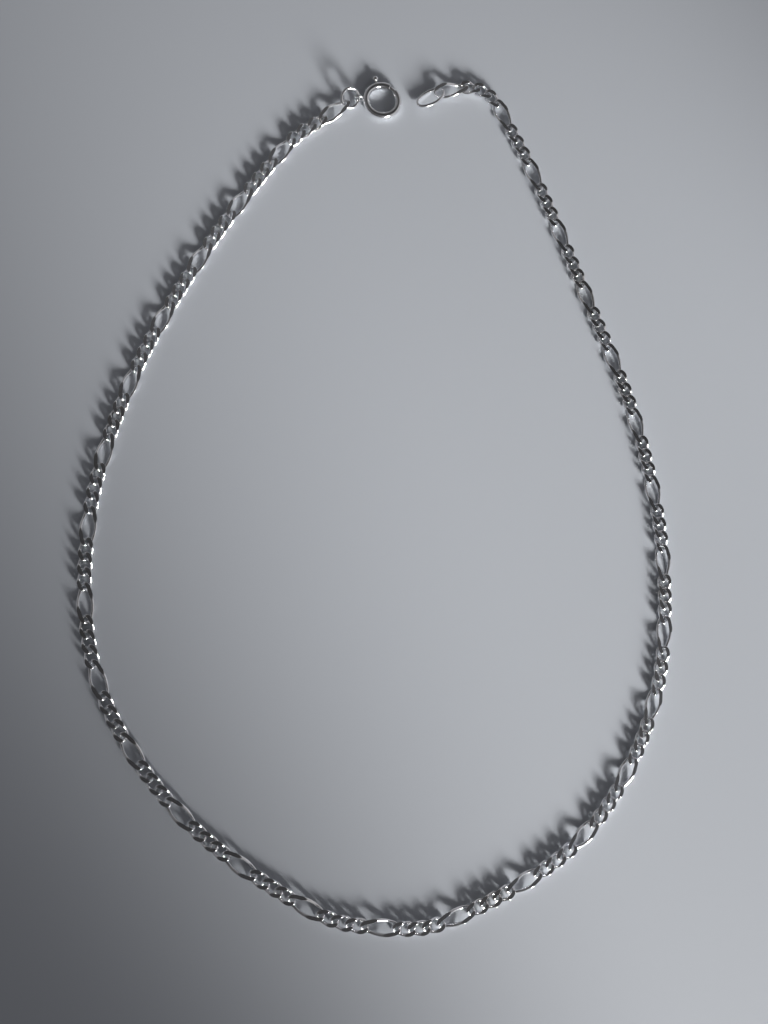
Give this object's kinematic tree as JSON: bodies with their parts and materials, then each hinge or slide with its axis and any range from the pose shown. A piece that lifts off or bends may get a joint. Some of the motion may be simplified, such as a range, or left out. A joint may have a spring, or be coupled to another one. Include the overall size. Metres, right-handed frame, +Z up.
{
  "type": "figaro chain necklace",
  "caption": "Figaro neck chain of flat twisted oval links, short ones between long ones, with a bolt ring clasp and an oval end ring, lying open in a loop.",
  "frame": {"origin": "middle of the loop's outline, on the surface that the chain lies on", "axes": "+Z up from that surface, +Y along the loop towards the clasp and the end ring"},
  "size_m": [0.1185, 0.1754, 0.003],
  "materials": {
    "silver": "mirror polished sterling silver"
  },
  "bodies": {
    "necklace": {"chain_clasp_side": "silver", "chain_ring_side": "silver", "clasp_ring": "silver", "clasp_jump_ring": "silver", "end_ring": "silver"},
    "bolt": {"clasp_bolt": "silver"}
  },
  "joints": [
    {"name": "bolt_travel", "type": "hinge", "parent": "necklace", "child": "bolt", "pos_m": [-0.00095, 0.0817, 0.00072], "axis": [0, 0, 1], "range_deg": [0, 37], "stiffness_Nm_per_rad": 0.001, "springref_deg": -17.19}
  ]
}
